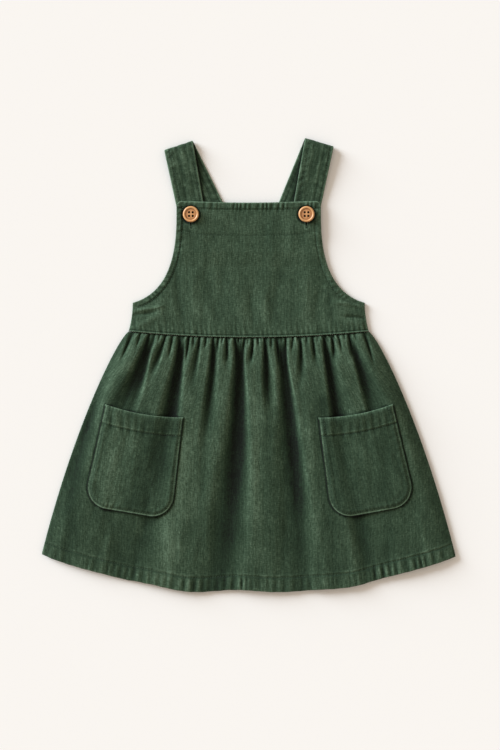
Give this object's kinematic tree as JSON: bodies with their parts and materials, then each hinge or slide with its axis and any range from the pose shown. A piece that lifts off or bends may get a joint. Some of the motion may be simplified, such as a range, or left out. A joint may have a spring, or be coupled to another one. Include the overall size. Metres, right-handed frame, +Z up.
{
  "type": "pinafore dress",
  "caption": "Child's pinafore dress laid flat, front up: bib front with buttoned straps, gathered flared skirt and rounded patch pockets.",
  "frame": {"origin": "middle of the dress's bounding box, on the surface that the dress lies on", "axes": "+Z up from the surface through the front of the dress, +Y from the hem towards the straps, +X to the right of someone looking down at the front"},
  "size_m": [0.4546, 0.4982, 0.0124],
  "materials": {
    "green_cloth": "garment-washed slubby cotton and linen twill, dark green, worn paler along folds and stitched edges",
    "button_wood": "turned pale wood, lightly waxed, raised rim and four thread holes"
  },
  "bodies": {
    "root": {"bodice_front": "green_cloth", "bodice_back": "green_cloth", "strap_left": "green_cloth", "strap_right": "green_cloth", "skirt_front": "green_cloth", "skirt_back": "green_cloth", "pocket_left": "green_cloth", "pocket_right": "green_cloth", "button_left": "button_wood", "button_right": "button_wood"}
  },
  "joints": []
}
